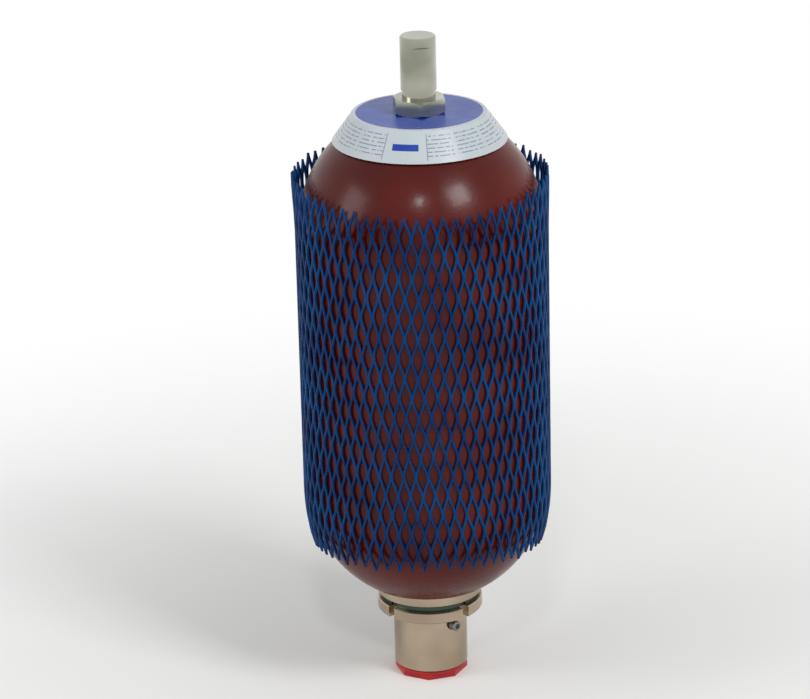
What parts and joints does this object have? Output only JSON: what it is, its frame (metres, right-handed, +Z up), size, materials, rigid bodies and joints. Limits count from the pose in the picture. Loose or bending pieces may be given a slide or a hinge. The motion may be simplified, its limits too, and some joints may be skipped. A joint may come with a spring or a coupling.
{
  "type": "bladder accumulator",
  "caption": "Upright hydraulic bladder accumulator: forged shell in a mesh sleeve, gas valve under a cap and dished plate on top, poppet fluid port with ring nut and plug below.",
  "frame": {"origin": "centre of the port plug's flat foot, on the vessel's axis", "axes": "+Z up along the vessel's axis; the front, with the bleed screw to its right, faces -Y"},
  "size_m": [0.237, 0.237, 0.6284],
  "materials": {
    "shell_paint": "semi-gloss red-brown primer",
    "bladder_rubber": "matt moulded nitrile rubber",
    "zinc_steel": "turned, zinc plated",
    "brass_valve": "turned brass",
    "bright_steel": "turned bright steel",
    "spring_steel": "drawn spring wire",
    "plate_aluminium": "pressed sheet, printed blue and white",
    "net_plastic": "extruded polyethylene mesh, blue",
    "port_steel": "turned, satin plated",
    "dark_steel": "blackened screw steel",
    "seal_rubber": "nitrile rubber",
    "backup_plastic": "white sealing plastic",
    "plug_plastic": "deep red moulded plastic"
  },
  "bodies": {
    "vessel": {"shell": "shell_paint", "bladder": "bladder_rubber", "gas_stem": "zinc_steel", "gas_valve": "brass_valve", "valve_seal_cap": "brass_valve", "cap_o_ring": "seal_rubber", "stem_nut": "zinc_steel", "nameplate": "plate_aluminium", "net_sleeve": "net_plastic", "port_body": "port_steel", "poppet_spring": "spring_steel", "anti_extrusion_ring": "seal_rubber", "seal_washer": "bright_steel", "port_o_ring": "seal_rubber", "backup_ring": "backup_plastic", "spacer_ring": "port_steel", "ring_nut": "port_steel", "bleed_screw": "dark_steel", "bleed_seal": "seal_rubber", "port_plug": "plug_plastic"},
    "poppet_valve": {"poppet": "bright_steel", "brake_bush": "brass_valve", "poppet_nut": "bright_steel"},
    "core_pin": {"valve_pin": "bright_steel"},
    "top_cap": {"protection_cap": "zinc_steel"}
  },
  "joints": [
    {"name": "poppet_slide", "type": "slide", "parent": "vessel", "child": "poppet_valve", "axis": [0, 0, 1], "range_m": [-0.013, 0], "stiffness_N_per_m": 800, "springref_m": 0.015, "deforming": ["poppet_spring"]},
    {"name": "valve_pin_slide", "type": "slide", "parent": "vessel", "child": "core_pin", "axis": [0, 0, 1], "range_m": [-0.0015, 0], "stiffness_N_per_m": 300, "springref_m": 0.002},
    {"name": "protection_cap_lift", "type": "slide", "parent": "vessel", "child": "top_cap", "axis": [0, 0, 1], "range_m": [0, 0.08]}
  ]
}
